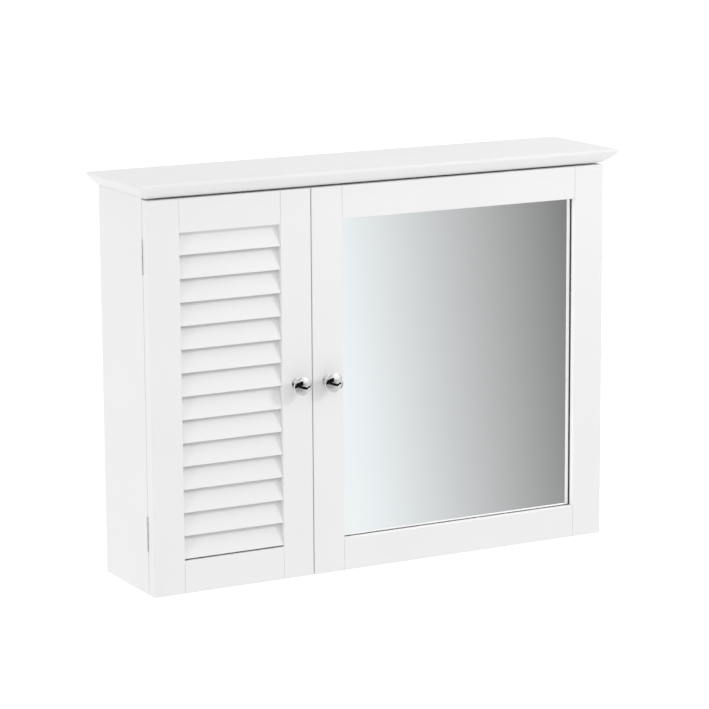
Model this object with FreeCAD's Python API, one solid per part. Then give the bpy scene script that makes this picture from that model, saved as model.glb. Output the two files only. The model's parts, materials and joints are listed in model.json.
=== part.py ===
"""Wall-hung bathroom cabinet with a louvre door and a mirror door under one moulded top board.

Frame: X to the right seen from the front, Y towards the wall, Z up, in millimetres. The origin is on the
wall plane, at the middle of the cabinet's width and level with its bottom edge, so the front faces -Y.
"""
import FreeCAD, Part
import math
import os

# Overall size, over the top board
overall_width = 650.0
overall_depth = 150.0
overall_height = 490.0

# Top board and its moulded edge, the same on the front and on both ends
cornice_thickness = 17.0
cornice_overhang = 15.0
cornice_door_overhang = 11.5
cornice_top_round = 1.0
nose_height = 3.4
ovolo_bulge = 0.7

# Carcass boards
board_thickness = 15.0
board_edge_round = 0.8
back_thickness = 3.0
back_groove_depth = 5.0
back_fit = 0.1
rail_thickness = 12.0
hanging_rail_height = 60.0

# Shelves and the pins they lie on
shelf_thickness = 12.0
shelf_height = 238.0
shelf_setback = 10.0
shelf_side_fit = 0.5
pin_hole_radius = 2.5
pin_fit = 0.05
pin_hole_skin = 2.0
pin_reach = 7.0
pin_flat = 1.4
pin_end_inset = 26.0
pin_hole_pitch = 32.0

# Dowels and cam fasteners
dowel_radius = 3.0
dowel_face_depth = 9.0
dowel_edge_depth = 15.0
dowel_chamfer = 0.8
dowel_inset = 26.0
rail_dowel_inset = 15.0
joint_fit = 0.1
cam_radius = 7.5
cam_skin = 2.5
cam_distance = 24.0
driver_slot_length = 5.0
driver_slot_width = 1.2
driver_slot_depth = 2.0
bolt_thread_radius = 2.5
bolt_thread_length = 10.0
bolt_shank_radius = 3.0
bolt_neck_radius = 1.8
bolt_head_radius = 2.9
bolt_head_length = 3.0
bolt_neck_length = 4.0

# Doors
door_thickness = 15.0
door_gap = 1.5
door_head_gap = 2.2
meeting_gap = 1.0
louvre_door_width = 211.0
louvre_stile_width = 40.0
mirror_stile_width = 41.0
door_rail_width = 40.0
door_edge_round = 1.2
door_joint_round = 0.9
tenon_length = 12.0
tenon_thickness = 5.0
tenon_shoulder = 8.0

# Louvre slats
slat_count = 14
slat_thickness = 4.0
slat_edge_round = 0.5
slat_tilt = 18.0
slat_front_inset = 0.8
slat_back_inset = 1.2
slat_foot_gap = 0.9
slat_housing = 5.0
slat_fit = 0.15

# Mirror in its rebate
rebate_width = 8.0
glass_thickness = 3.0
glass_fit = 0.5
backing_thickness = 2.5
panel_pin_space = 1.5
panel_pin_radius = 0.6
panel_pin_length = 14.0
panel_pin_fit = 0.05
panel_pins_per_long_side = 3
panel_pins_per_short_side = 2

# Butt hinges
hinge_height = 41.2
lower_hinge_distance = 74.0
upper_hinge_distance = 66.8
hinge_leaf_width = 13.0
hinge_leaf_thickness = 1.2
hinge_leaf_gap = 0.3
knuckle_count = 6
knuckle_gap = 0.8
hinge_axis_offset = 0.3
hinge_pin_radius = 0.7
hinge_pin_fit = 0.05
hinge_pin_end = 0.4
barrel_clearance = 0.3
hinge_screw_spacing = 26.0
leaf_side_fit = 0.2

# Screws
screw_radius = 1.5
screw_head_radius = 2.5
screw_length = 13.0
screw_skin = 2.6
screw_fit = 0.05

# Knobs
knob_rise = 1.6
knob_projection = 21.4
knob_base_radius = 8.5
knob_base_height = 2.2
knob_base_chamfer = 0.7
knob_neck_radius = 4.8
knob_neck_height = 8.5
knob_head_radius = 11.7
knob_rim_height = 16.6
knob_rim_thickness = 2.6
knob_rim_tuck = 1.0
knob_rim_bulge = 0.3
knob_screw_radius = 2.0
knob_screw_bite = 8.0
knob_screw_head_radius = 3.8
knob_screw_head_height = 2.4

# Magnetic catches and strike plates
catch_drop = 73.0
catch_width = 14.0
catch_depth = 14.0
catch_length = 22.0
catch_base_length = 42.0
catch_base_thickness = 2.5
catch_screw_spacing = 32.0
catch_wall = 2.0
magnet_depth = 9.0
magnet_proud = 0.3
catch_air = 0.3
strike_length = 30.0
strike_width = 12.0
strike_thickness = 1.0

# Keyhole hanging plates, let into the back of the hanging rail
hanging_inset = 45.0
hanging_drop = 33.0
plate_width = 22.0
plate_length = 46.0
plate_thickness = 2.0
plate_corner_round = 5.5
plate_fit = 0.2
plate_screw_spacing = 36.0
keyhole_radius = 4.5
keyhole_slot_radius = 2.6
keyhole_slot_rise = 9.0
pocket_margin = 2.0
pocket_skin = 2.0

# How far a cutter runs past the face that it opens, and the least distance between two points
cut_past = 1.0
same_point = 1e-6

# Places worked out from the sizes above
half_width = overall_width / 2 - cornice_overhang
inner_half = half_width - board_thickness
carcass_top = overall_height - cornice_thickness
carcass_front = cornice_door_overhang + door_thickness + door_gap - overall_depth
back_rear = -rail_thickness
back_front = back_rear - back_thickness
door_back = carcass_front - door_gap
door_front = door_back - door_thickness
door_top = carcass_top - door_head_gap
door_bottom = 0.0
louvre_lock_edge = -half_width + louvre_door_width
mirror_lock_edge = louvre_lock_edge + meeting_gap
meeting_line = (louvre_lock_edge + mirror_lock_edge) / 2
partition_left = meeting_line - board_thickness / 2
partition_right = meeting_line + board_thickness / 2
opening_bottom = door_bottom + door_rail_width
opening_top = door_top - door_rail_width
hinge_plane = (carcass_front + door_back) / 2
barrel_radius = hinge_leaf_gap / 2 + hinge_leaf_thickness
hinge_heights = (door_bottom + lower_hinge_distance, door_top - upper_hinge_distance)
knob_height = (door_bottom + door_top) / 2 + knob_rise
strike_front = door_back + strike_thickness
catch_face = strike_front + catch_air
catch_height = carcass_top - catch_drop
hanging_half = inner_half - hanging_inset
hanging_height = carcass_top - hanging_drop
pin_hole_depth = board_thickness / 2 - pin_hole_skin
cam_depth = board_thickness - cam_skin
fastener_rows = (back_front - dowel_inset, carcass_front + dowel_inset)
cam_row = carcass_front / 2
door_screw_length = hinge_plane - hinge_leaf_gap / 2 - door_front - screw_skin
plate_screw_length = rail_thickness - screw_skin
catch_screw_length = catch_base_thickness + (board_thickness - screw_skin) / 2
strike_screw_length = strike_thickness + door_thickness / 2

along_x = FreeCAD.Vector(1, 0, 0)
along_y = FreeCAD.Vector(0, 1, 0)
along_z = FreeCAD.Vector(0, 0, 1)

# Inset of the middle of a quarter round from its corner, for each millimetre of radius
quarter_middle = 1 - math.sqrt(0.5)


# Shape helpers

def block(x_ends, y_ends, z_ends):
    """Box between two values on each axis, given in either order."""
    lows = [min(ends) for ends in (x_ends, y_ends, z_ends)]
    sizes = [abs(ends[1] - ends[0]) for ends in (x_ends, y_ends, z_ends)]
    return Part.makeBox(*sizes, FreeCAD.Vector(*lows))


def rod(radius, start, end):
    """Round bar from one point to another."""
    start = FreeCAD.Vector(*start)
    run = FreeCAD.Vector(*end) - start
    return Part.makeCylinder(radius, run.Length, start, run)


def outline_face(start, steps, to_space):
    """Flat face inside an outline: a step of one point is a line, a step of two is an arc via the first."""
    edges = []
    here = to_space(start)
    for step in steps + [[start]]:
        stops = [to_space(point) for point in step]
        if len(stops) == 2:
            edges.append(Part.Arc(here, *stops).toShape())
        elif stops[0].distanceToPoint(here) > same_point:
            edges.append(Part.LineSegment(here, stops[0]).toShape())
        here = stops[-1]
    return Part.Face(Part.Wire(edges))


def turned(steps, place, direction):
    """Turned piece: an outline of (radius, height) from the axis, revolved and laid along a direction."""
    face = outline_face((0, 0), steps, lambda point: FreeCAD.Vector(point[0], 0, point[1]))
    solid = face.revolve(FreeCAD.Vector(), along_z, 360)
    solid.Placement = FreeCAD.Placement(FreeCAD.Vector(*place), FreeCAD.Rotation(along_z, direction))
    return solid


def rounded_corner(corner, toward_first, toward_second, radius):
    """Outline steps that round one corner of a square outline; the two directions point away from it."""
    if radius == 0:
        return [[corner]]
    mid = radius * quarter_middle
    first = (corner[0] + toward_first[0] * radius, corner[1] + toward_first[1] * radius)
    second = (corner[0] + toward_second[0] * radius, corner[1] + toward_second[1] * radius)
    via = (corner[0] + (toward_first[0] + toward_second[0]) * mid,
           corner[1] + (toward_first[1] + toward_second[1]) * mid)
    return [[first], [via, second]]


def front_rounded_profile(across, y_ends, low_round, high_round):
    """Outline of a bar seen along its length: square at the back, its two front corners rounded."""
    low, high = across
    front, back = y_ends
    steps = rounded_corner((low, front), (0, 1), (1, 0), low_round)
    steps += rounded_corner((high, front), (-1, 0), (0, 1), high_round)
    steps += [[(high, back)]]
    return (low, back), steps


def softened_bar(x_ends, y_ends, z_ends, x_rounds, z_rounds):
    """Bar whose four front edges are rounded: the overlap of two extruded outlines."""
    start, steps = front_rounded_profile(x_ends, y_ends, *x_rounds)
    plan = outline_face(start, steps, lambda p: FreeCAD.Vector(p[0], p[1], z_ends[0]))
    start, steps = front_rounded_profile(z_ends, y_ends, *z_rounds)
    section = outline_face(start, steps, lambda p: FreeCAD.Vector(x_ends[0], p[1], p[0]))
    upright = plan.extrude(along_z * (z_ends[1] - z_ends[0]))
    lying = section.extrude(along_x * (x_ends[1] - x_ends[0]))
    return upright.common(lying)


def eased_profile(across, along, radius):
    """Outline of a bar seen along its length, with all four corners rounded."""
    low, high = across
    foot, head = along
    steps = rounded_corner((low, foot), (0, 1), (1, 0), radius)
    steps += rounded_corner((high, foot), (-1, 0), (0, 1), radius)
    steps += rounded_corner((high, head), (0, -1), (-1, 0), radius)
    steps += rounded_corner((low, head), (1, 0), (0, -1), radius)
    return (low, foot + radius), steps


# Fasteners, each also the cutter of its own hole when given a fit

def wood_screw(place, direction, length, fit=0.0):
    """Countersunk screw: place is the middle of its flat head."""
    head_drop = screw_head_radius - screw_radius
    shank = screw_radius + fit
    steps = [
        [(screw_head_radius + fit, 0)],
        [(shank, head_drop)],
        [(shank, length - screw_radius)],
        [(0, length + fit)],
    ]
    return turned(steps, place, direction)


def knob_screw(place, direction, length, fit=0.0):
    """Pan-head machine screw: place is the seat of its head, which lies behind it."""
    shank = knob_screw_radius + fit
    head = knob_screw_head_radius + fit
    body = rod(shank, place, FreeCAD.Vector(*place) + direction * (length + fit))
    top = rod(head, FreeCAD.Vector(*place) - direction * knob_screw_head_height, place)
    return body.fuse(top).removeSplitter()


def dowel(place, direction, fit=0.0):
    """Fluted dowel drawn plain: place is where the two boards meet, direction points into the edge."""
    radius = dowel_radius + fit
    low = -dowel_face_depth - fit
    high = dowel_edge_depth + fit
    steps = [
        [(radius - dowel_chamfer, 0)],
        [(radius, dowel_chamfer)],
        [(radius, high - low - dowel_chamfer)],
        [(radius - dowel_chamfer, high - low)],
        [(0, high - low)],
    ]
    start = FreeCAD.Vector(*place) + direction * low
    return turned(steps, start, direction)


def cam_bolt(place, direction, fit=0.0):
    """Bolt of a cam fastener: threaded into a face, its head reaching the cam disc in the other board."""
    reach = cam_distance + bolt_head_length / 2
    total = bolt_thread_length + reach
    neck_start = total - bolt_head_length - bolt_neck_length
    thread = bolt_thread_radius + fit
    shank = bolt_shank_radius + fit
    if fit:
        steps = [
            [(thread, 0)],
            [(thread, bolt_thread_length)],
            [(shank, bolt_thread_length)],
            [(shank, total)],
            [(0, total)],
        ]
    else:
        steps = [
            [(thread, 0)],
            [(thread, bolt_thread_length)],
            [(shank, bolt_thread_length)],
            [(shank, neck_start)],
            [(bolt_neck_radius, neck_start)],
            [(bolt_neck_radius, total - bolt_head_length)],
            [(bolt_head_radius, total - bolt_head_length)],
            [(bolt_head_radius, total)],
            [(0, total)],
        ]
    start = FreeCAD.Vector(*place) - direction * bolt_thread_length
    return turned(steps, start, direction)


def cam_disc(place, direction, bolt_direction):
    """Cam disc let into a board: place is the middle of its outer face, direction points into the board."""
    place = FreeCAD.Vector(*place)
    disc = rod(cam_radius, place, place + direction * cam_depth)
    middle = place + direction * (board_thickness / 2)
    slot_half = bolt_head_radius + joint_fit
    mouth = middle - bolt_direction * (cam_radius + cut_past)
    channel = rod(slot_half, mouth, middle + bolt_direction * bolt_head_length)
    across = direction.cross(bolt_direction)
    size = across * driver_slot_length + bolt_direction * driver_slot_width + direction * driver_slot_depth
    corner = place - across * (driver_slot_length / 2) - bolt_direction * (driver_slot_width / 2)
    far = corner + size
    driver_slot = block((corner.x, far.x), (corner.y, far.y), (corner.z, far.z))
    return disc.cut([channel, driver_slot])


def cam_pocket(place, direction):
    """Round pocket that a cam disc lies in."""
    place = FreeCAD.Vector(*place)
    return rod(cam_radius + joint_fit, place, place + direction * (cam_depth + joint_fit))


# Where the carcass fasteners sit

down = along_z * -1
into_left = along_x * -1
corner_sides = (-1, 1)
board_middle = half_width - board_thickness / 2
floor_middle = board_thickness / 2

dowel_seats = []
for row in fastener_rows:
    for side in corner_sides:
        dowel_seats.append(((side * board_middle, row, carcass_top), down))
        dowel_seats.append(((side * inner_half, row, floor_middle), along_x * -side))
    dowel_seats.append(((meeting_line, row, carcass_top), down))
    dowel_seats.append(((meeting_line, row, board_thickness), along_z))
rail_dowel_heights = (carcass_top - hanging_rail_height + rail_dowel_inset, carcass_top - rail_dowel_inset)
for height in rail_dowel_heights:
    for side in corner_sides:
        dowel_seats.append(((side * inner_half, back_rear / 2, height), along_x * -side))

bolt_seats = []
disc_seats = []
for side in corner_sides:
    bolt_seats.append(((side * board_middle, cam_row, carcass_top), down))
    disc_seats.append(((side * inner_half, cam_row, carcass_top - cam_distance), along_x * side, down))
    bolt_seats.append(((side * inner_half, cam_row, floor_middle), along_x * -side))
    disc_seats.append(((side * (inner_half - cam_distance), cam_row, 0), along_z, along_x * -side))

dowel_holes = [dowel(place, direction, joint_fit) for place, direction in dowel_seats]
bolt_holes = [cam_bolt(place, direction, joint_fit) for place, direction in bolt_seats]
disc_holes = [cam_pocket(place, direction) for place, direction, _ in disc_seats]
carcass_holes = dowel_holes + bolt_holes + disc_holes

# One groove all round holds the back panel
groove_half = inner_half + back_groove_depth
back_groove = block(
    (-groove_half, groove_half),
    (back_rear + back_fit, back_front - back_fit),
    (board_thickness - back_groove_depth, carcass_top + back_groove_depth),
)


# Carcass

def cornice_profile(across_start, height_top):
    """Moulded edge as (inset from the nose, height): round top, flat nose, shallow ovolo down to the foot."""
    top = height_top
    base = height_top - cornice_thickness
    nose_low = top - nose_height
    drop = nose_low - base
    slope = math.hypot(cornice_overhang, drop)
    ovolo_middle = (
        cornice_overhang / 2 - drop / slope * ovolo_bulge,
        (nose_low + base) / 2 - cornice_overhang / slope * ovolo_bulge,
    )
    top_mid = cornice_top_round * quarter_middle
    return [
        [(across_start, top)],
        [(cornice_top_round, top)],
        [(top_mid, top - top_mid), (0, top - cornice_top_round)],
        [(0, nose_low)],
        [ovolo_middle, (cornice_overhang, base)],
    ]


def make_cornice():
    """Top board: the front moulding and the end mouldings meet in mitres where their outlines overlap."""
    base = carcass_top
    front_steps = cornice_profile(overall_depth, overall_height)
    front = outline_face(
        (overall_depth, base),
        front_steps,
        lambda p: FreeCAD.Vector(-overall_width / 2, p[0] - overall_depth, p[1]),
    ).extrude(along_x * overall_width)
    halves = []
    for side in corner_sides:
        end_steps = cornice_profile(overall_width / 2, overall_height)
        halves.append(outline_face(
            (overall_width / 2, base),
            end_steps,
            lambda p: FreeCAD.Vector(side * (overall_width / 2 - p[0]), -overall_depth, p[1]),
        ).extrude(along_y * overall_depth))
    ends = halves[0].fuse(halves[1]).removeSplitter()
    return front.common(ends).cut(carcass_holes + [back_groove]).removeSplitter()


def shelf_pin(place, inward):
    """Shelf pin with a flat top: place is on the board's face, inward points into the bay."""
    place = FreeCAD.Vector(*place)
    inner_end = place - inward * (pin_hole_depth - joint_fit)
    bar = rod(pin_hole_radius - pin_fit, inner_end, place + inward * pin_reach)
    shaving = block(
        (place.x, place.x + inward.x * pin_reach),
        (place.y - pin_hole_radius, place.y + pin_hole_radius),
        (place.z + pin_flat, place.z + pin_hole_radius),
    )
    return bar.cut(shaving)


shelf_ends_y = (back_front, carcass_front + shelf_setback)
pin_rows = (back_front - pin_end_inset, carcass_front + shelf_setback + pin_end_inset)
pin_line = shelf_height - pin_flat
pin_faces = (
    (-inner_half, along_x),
    (partition_left, into_left),
    (partition_right, along_x),
    (inner_half, into_left),
)
pin_seats = [((face_x, row, pin_line), inward) for face_x, inward in pin_faces for row in pin_rows]
pin_holes = []
for place, inward in pin_seats:
    for step in (-1, 0, 1):
        mouth = FreeCAD.Vector(place[0], place[1], place[2] + step * pin_hole_pitch)
        pin_holes.append(rod(pin_hole_radius, mouth, mouth - inward * pin_hole_depth))


def hinge_edge(side):
    """X of the hinge pins of one door, just outside the carcass."""
    return side * (half_width + hinge_axis_offset)


def hinge_recess(side, board_face, into_board):
    """Cutters that let the hinge leaves and the barrel of both hinges of a door into one board."""
    cutters = []
    depth = barrel_radius - door_gap / 2
    for middle in hinge_heights:
        z_ends = (middle - hinge_height / 2 - leaf_side_fit, middle + hinge_height / 2 + leaf_side_fit)
        tip = hinge_edge(side) - side * (hinge_leaf_width + leaf_side_fit)
        x_ends = (side * (half_width + cut_past), tip)
        cutters.append(block(x_ends, (board_face, board_face + into_board * depth), z_ends))
        axis = (hinge_edge(side), hinge_plane)
        cutters.append(rod(barrel_radius + barrel_clearance, (*axis, z_ends[0]), (*axis, z_ends[1])))
    return cutters


def hinge_screw_seats(side, into_board):
    """Head places and directions of the screws of both leaves of a door's hinges in one board."""
    face = hinge_plane + into_board * hinge_leaf_gap / 2
    x = hinge_edge(side) - side * (hinge_leaf_width + barrel_radius) / 2
    heights = [middle + end * hinge_screw_spacing / 2 for middle in hinge_heights for end in (-1, 1)]
    return [((x, face, height), along_y * into_board) for height in heights]


def screws_at(seats, length, fit=0.0):
    return [wood_screw(place, direction, length, fit) for place, direction in seats]


def make_side_panel(side):
    outer = side * half_width
    inner = side * inner_half
    rounds = (board_edge_round, 0) if side < 0 else (0, board_edge_round)
    x_ends = (min(outer, inner), max(outer, inner))
    panel = softened_bar(x_ends, (carcass_front, 0), (0, carcass_top), rounds, (board_edge_round, 0))
    cutters = carcass_holes + pin_holes + [back_groove]
    cutters += hinge_recess(side, carcass_front, 1)
    cutters += screws_at(hinge_screw_seats(side, 1), screw_length, screw_fit)
    return panel.cut(cutters).removeSplitter()


def make_bottom_panel():
    panel = softened_bar((-inner_half, inner_half), (carcass_front, 0), (0, board_thickness),
                         (0, 0), (board_edge_round, 0))
    return panel.cut(carcass_holes + [back_groove]).removeSplitter()


def make_partition():
    panel = softened_bar((partition_left, partition_right), (carcass_front, back_front),
                         (board_thickness, carcass_top), (board_edge_round, board_edge_round), (0, 0))
    cutters = dowel_holes + pin_holes + screws_at(catch_screw_seats(), catch_screw_length, screw_fit)
    return panel.cut(cutters).removeSplitter()


def make_back_panel():
    edge = back_groove_depth - back_fit
    return block(
        (-inner_half - edge, inner_half + edge),
        (back_rear, back_front),
        (board_thickness - edge, carcass_top + edge),
    )


def make_shelf(low_x, high_x):
    x_ends = (low_x + shelf_side_fit, high_x - shelf_side_fit)
    y_ends = (shelf_ends_y[1], shelf_ends_y[0])
    rounds = (board_edge_round, board_edge_round)
    return softened_bar(x_ends, y_ends, (shelf_height, shelf_height + shelf_thickness), (0, 0), rounds)


# Hanging rail and keyhole plates

def plate_middles():
    return [(side * hanging_half, 0, hanging_height) for side in corner_sides]


def plate_screw_seats():
    return [((x, y, z + end * plate_screw_spacing / 2), along_y * -1)
            for x, y, z in plate_middles() for end in (-1, 1)]


def keyhole(place, margin, depth):
    """Keyhole cutter from the wall side: a round entry with a slot that rises from it."""
    x, y, z = place
    entry = rod(keyhole_radius + margin, (x, y, z), (x, y - depth, z))
    half = keyhole_slot_radius + margin
    slot = block((x - half, x + half), (y, y - depth), (z, z + keyhole_slot_rise))
    rest = rod(half, (x, y, z + keyhole_slot_rise), (x, y - depth, z + keyhole_slot_rise))
    return entry.fuse([slot, rest]).removeSplitter()


def make_hanging_plate(place):
    x, y, z = place
    plate = block((x - plate_width / 2, x + plate_width / 2), (y, y - plate_thickness),
                  (z - plate_length / 2, z + plate_length / 2))
    uprights = [edge for edge in plate.Edges if abs(edge.tangentAt(edge.FirstParameter).y) > 0.5]
    plate = plate.makeFillet(plate_corner_round, uprights)
    holes = screws_at(plate_screw_seats(), plate_screw_length, screw_fit)
    return plate.cut([keyhole(place, 0, plate_thickness)] + holes)


def make_hanging_rail():
    rail = block((-inner_half, inner_half), (0, back_rear), (carcass_top - hanging_rail_height, carcass_top))
    cutters = dowel_holes + screws_at(plate_screw_seats(), plate_screw_length, screw_fit)
    for x, y, z in plate_middles():
        half_x = plate_width / 2 + plate_fit
        half_z = plate_length / 2 + plate_fit
        cutters.append(block((x - half_x, x + half_x), (y, y - plate_thickness), (z - half_z, z + half_z)))
        cutters.append(keyhole((x, y, z), pocket_margin, rail_thickness - pocket_skin))
    return rail.cut(cutters).removeSplitter()


# Catches on the partition, strike plates on the doors

catch_sides = ((partition_left, -1), (partition_right, 1))


def catch_screw_seats():
    seats = []
    for face_x, outward in catch_sides:
        head_x = face_x + outward * catch_base_thickness
        y = catch_face + catch_depth / 2
        for end in (-1, 1):
            seats.append(((head_x, y, catch_height + end * catch_screw_spacing / 2), along_x * -outward))
    return seats


def catch_middle_x(face_x, outward):
    return face_x + outward * (catch_width + catch_base_thickness) / 2


def magnet_box(face_x, outward, fit):
    middle = catch_middle_x(face_x, outward)
    half = (catch_width - catch_base_thickness) / 2 - catch_wall + fit
    reach = catch_length / 2 - catch_wall + fit
    return block((middle - half, middle + half), (catch_face, catch_face + magnet_depth + fit),
                 (catch_height - reach, catch_height + reach))


def make_catch(face_x, outward):
    """Catch housing: a screwed base plate and a hollow nose that holds the magnet."""
    front = catch_face + magnet_proud
    rear = front + catch_depth
    base = block((face_x, face_x + outward * catch_base_thickness), (front, rear),
                 (catch_height - catch_base_length / 2, catch_height + catch_base_length / 2))
    nose = block((face_x, face_x + outward * catch_width), (front, rear),
                 (catch_height - catch_length / 2, catch_height + catch_length / 2))
    holes = screws_at(catch_screw_seats(), catch_screw_length, screw_fit)
    housing = base.fuse(nose).removeSplitter()
    return housing.cut([magnet_box(face_x, outward, joint_fit)] + holes).removeSplitter()


def strike_seat(face_x, outward):
    return (catch_middle_x(face_x, outward), strike_front, catch_height), along_y * -1


def make_strike(face_x, outward):
    (x, y, z), direction = strike_seat(face_x, outward)
    plate = block((x - strike_width / 2, x + strike_width / 2), (door_back, strike_front),
                  (z - strike_length / 2, z + strike_length / 2))
    return plate.cut(wood_screw((x, y, z), direction, strike_screw_length, screw_fit))


# Hinges

def knuckle_spans(own):
    """Height ranges of every second knuckle of each hinge, and of the ones between."""
    pitch = hinge_height / knuckle_count
    spans = []
    for middle in hinge_heights:
        foot = middle - hinge_height / 2
        for index in range(knuckle_count):
            if index % 2 == own:
                spans.append((foot + index * pitch, foot + (index + 1) * pitch))
    return spans


def make_leaves(side, into_board, own):
    """Both leaves that one board carries: a screwed plate whose knuckles wrap round the pin."""
    axis_x = hinge_edge(side)
    near = hinge_plane + into_board * hinge_leaf_gap / 2
    far = near + into_board * hinge_leaf_thickness
    tip = axis_x - side * hinge_leaf_width
    leaves = []
    for middle in hinge_heights:
        foot = middle - hinge_height / 2
        head = middle + hinge_height / 2
        plate = block((axis_x, tip), (near, far), (foot, head))
        inside = [span for span in knuckle_spans(own) if foot <= (span[0] + span[1]) / 2 <= head]
        between = [span for span in knuckle_spans(1 - own) if foot <= (span[0] + span[1]) / 2 <= head]
        knuckles = [rod(barrel_radius, (axis_x, hinge_plane, low + knuckle_gap / 2),
                        (axis_x, hinge_plane, high - knuckle_gap / 2)) for low, high in inside]
        clear = axis_x - side * (barrel_radius + barrel_clearance)
        outside = axis_x + side * (barrel_radius + barrel_clearance)
        notches = [block((outside, clear), (near, far), (low - knuckle_gap / 2, high + knuckle_gap / 2))
                   for low, high in between]
        bore = rod(hinge_pin_radius + hinge_pin_fit, (axis_x, hinge_plane, foot - cut_past),
                   (axis_x, hinge_plane, head + cut_past))
        leaf = plate.cut(notches).fuse(knuckles).removeSplitter()
        holes = screws_at(hinge_screw_seats(side, into_board), screw_length, screw_fit)
        leaves.append(leaf.cut([bore] + holes).removeSplitter())
    return Part.makeCompound(leaves)


def make_pins(side):
    axis_x = hinge_edge(side)
    reach = hinge_height / 2 + hinge_pin_end
    return Part.makeCompound([
        rod(hinge_pin_radius, (axis_x, hinge_plane, middle - reach), (axis_x, hinge_plane, middle + reach))
        for middle in hinge_heights
    ])


# Door frames

def tenon_box(low_x, high_x, rail_z, fit):
    """Tenon running out of both ends of a rail, less a shoulder above and below."""
    middle = (door_front + door_back) / 2
    half = tenon_thickness / 2 + fit
    reach = tenon_length + fit
    return block((low_x - reach, high_x + reach), (middle - half, middle + half),
                 (rail_z[0] + tenon_shoulder - fit, rail_z[1] - tenon_shoulder + fit))


rail_heights = ((door_bottom, opening_bottom), (opening_top, door_top))


def make_stile(x_ends, outer_is_low, opening_x, cutters):
    """Full-height stile: soft outer edges, and a fine round where the rails butt against it."""
    rounds = (door_edge_round, door_joint_round) if outer_is_low else (door_joint_round, door_edge_round)
    stile = softened_bar(x_ends, (door_front, door_back), (door_bottom, door_top), rounds,
                         (door_edge_round, door_edge_round))
    mortises = [tenon_box(*opening_x, rail_z, joint_fit) for rail_z in rail_heights]
    return stile.cut(mortises + cutters).removeSplitter()


def make_rail(opening_x, rail_z, outer_is_low, cutters):
    """Rail between the stiles, with a tenon at each end."""
    joint = door_joint_round
    rounds = (door_edge_round, joint) if outer_is_low else (joint, door_edge_round)
    bar = softened_bar(opening_x, (door_front, door_back), rail_z, (joint, joint), rounds)
    rail = bar.fuse(tenon_box(*opening_x, rail_z, 0)).removeSplitter()
    return rail.cut(cutters).removeSplitter() if cutters else rail


# Louvre door

louvre_opening = (-half_width + louvre_stile_width, louvre_lock_edge - louvre_stile_width)
slat_pitch = (opening_top - opening_bottom) / slat_count
slat_upright = math.cos(math.radians(slat_tilt))
slat_lean = math.sin(math.radians(slat_tilt))
slat_room = door_thickness - slat_front_inset - slat_back_inset
slat_length = (slat_room - slat_thickness * slat_upright) / slat_lean


def slat_bar(index, fit, reach):
    """One slat, low at the front and leaning back, running a given way into both stiles."""
    front = door_front + slat_front_inset
    foot = opening_bottom + slat_foot_gap + index * slat_pitch + slat_thickness * slat_lean
    left = louvre_opening[0] - reach

    def to_space(point):
        across, along = point
        return FreeCAD.Vector(left, front + across * slat_upright + along * slat_lean,
                              foot - across * slat_lean + along * slat_upright)

    right = louvre_opening[1] + reach
    start, steps = eased_profile((-fit, slat_thickness + fit), (-fit, slat_length + fit),
                                 slat_edge_round + fit)
    return outline_face(start, steps, to_space).extrude(along_x * (right - left))


slat_mortises = [slat_bar(index, slat_fit, slat_housing + slat_fit) for index in range(slat_count)]


# Mirror door

mirror_opening = (mirror_lock_edge + mirror_stile_width, half_width - mirror_stile_width)
backing_rear = door_back - panel_pin_space
backing_front = backing_rear - backing_thickness
glass_front = backing_front - glass_thickness
panel_pin_line = backing_rear + panel_pin_radius + panel_pin_fit


def behind_opening(y_ends, margin):
    """Box as wide and high as the mirror rebate, less a margin on each side."""
    reach = rebate_width - margin
    return block((mirror_opening[0] - reach, mirror_opening[1] + reach), y_ends,
                 (opening_bottom - reach, opening_top + reach))


mirror_rebate = behind_opening((glass_front, door_back), 0)


def panel_pins(fit):
    """Panel pins driven flat into the rebate's wall, half their length over the backing board."""
    half = panel_pin_length / 2
    left = mirror_opening[0] - rebate_width
    right = mirror_opening[1] + rebate_width
    low = opening_bottom - rebate_width
    high = opening_top + rebate_width
    radius = panel_pin_radius + fit
    pins = []
    for index in range(panel_pins_per_short_side):
        height = low + (high - low) * (index + 0.5) / panel_pins_per_short_side
        for edge in (left, right):
            pins.append(rod(radius, (edge - half - fit, panel_pin_line, height),
                            (edge + half + fit, panel_pin_line, height)))
    for index in range(panel_pins_per_long_side):
        across = left + (right - left) * (index + 0.5) / panel_pins_per_long_side
        for edge in (low, high):
            pins.append(rod(radius, (across, panel_pin_line, edge - half - fit),
                            (across, panel_pin_line, edge + half + fit)))
    return pins


# Knobs and the screws that hold them through the stiles

louvre_knob_x = louvre_lock_edge - louvre_stile_width / 2
mirror_knob_x = mirror_lock_edge + mirror_stile_width / 2


def cove_middle(waist, end):
    """Middle of the arc that leaves a waist along the axis and runs out to another point of the outline."""
    out = end[0] - waist[0]
    along = end[1] - waist[1]
    radius = (out ** 2 + along ** 2) / (2 * out)
    half_turn = math.atan2(abs(along), radius - out) / 2
    rise = math.copysign(radius * math.sin(half_turn), along)
    return (waist[0] + radius * (1 - math.cos(half_turn)), waist[1] + rise)


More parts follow.
